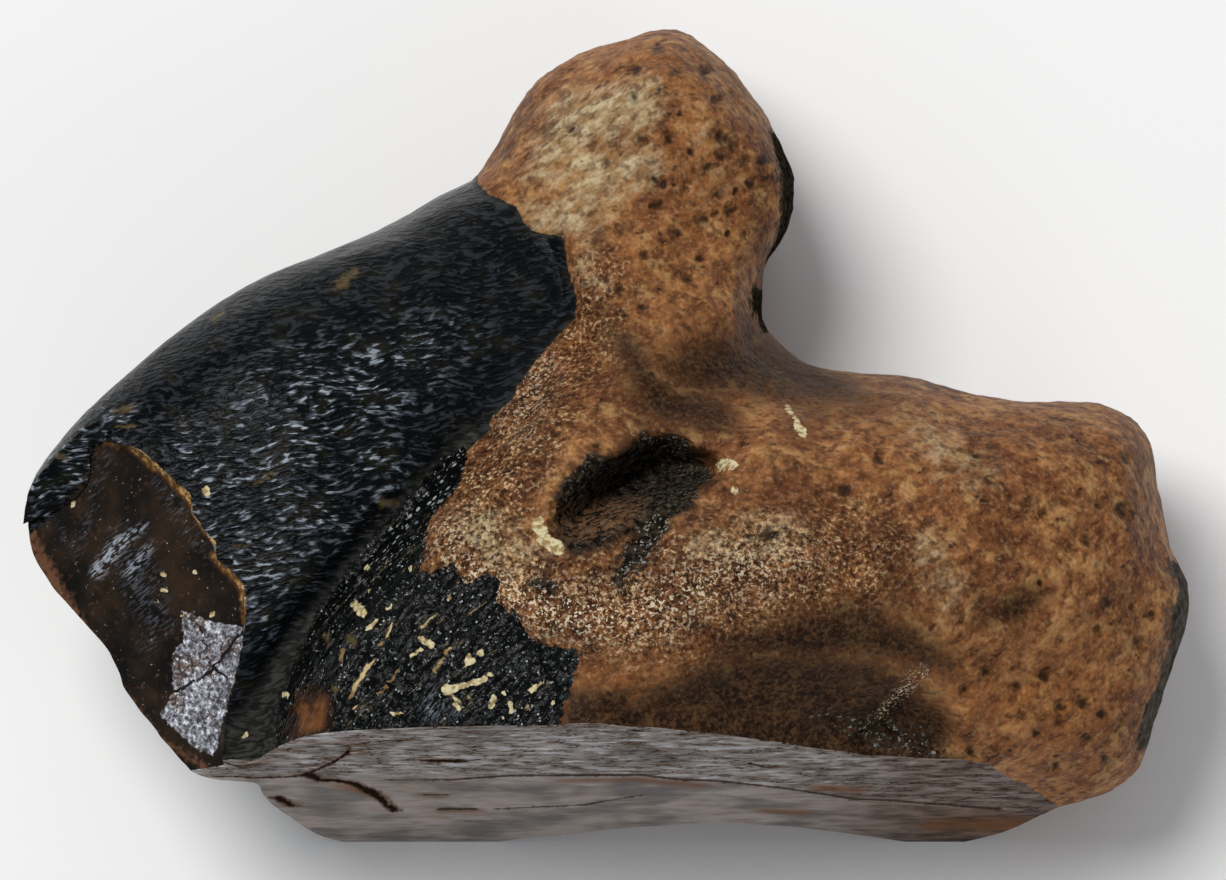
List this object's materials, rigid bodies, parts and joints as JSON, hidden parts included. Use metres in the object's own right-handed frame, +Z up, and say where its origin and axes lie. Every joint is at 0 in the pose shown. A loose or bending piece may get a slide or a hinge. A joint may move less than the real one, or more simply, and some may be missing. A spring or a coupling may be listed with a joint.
{
  "type": "fossil dinosaur tooth",
  "caption": "Fossil cheek tooth of a horned dinosaur: black wrinkled enamel crown, chipped keel tip, brown pitted roots and a flat grey wear facet.",
  "frame": {"origin": "on the surface that the tooth lies on, under the middle of its bounding box", "axes": "+X from the keel's tip to the end of the long root, +Y from the wear facet to the knob, +Z up"},
  "size_m": [0.0404, 0.0282, 0.0184],
  "materials": {
    "fossil_tooth": "mineralised: glossy black wrinkled enamel, satin brown granular root, half-polished grey wear facet"
  },
  "bodies": {
    "root": {"tooth": "fossil_tooth"}
  },
  "joints": []
}
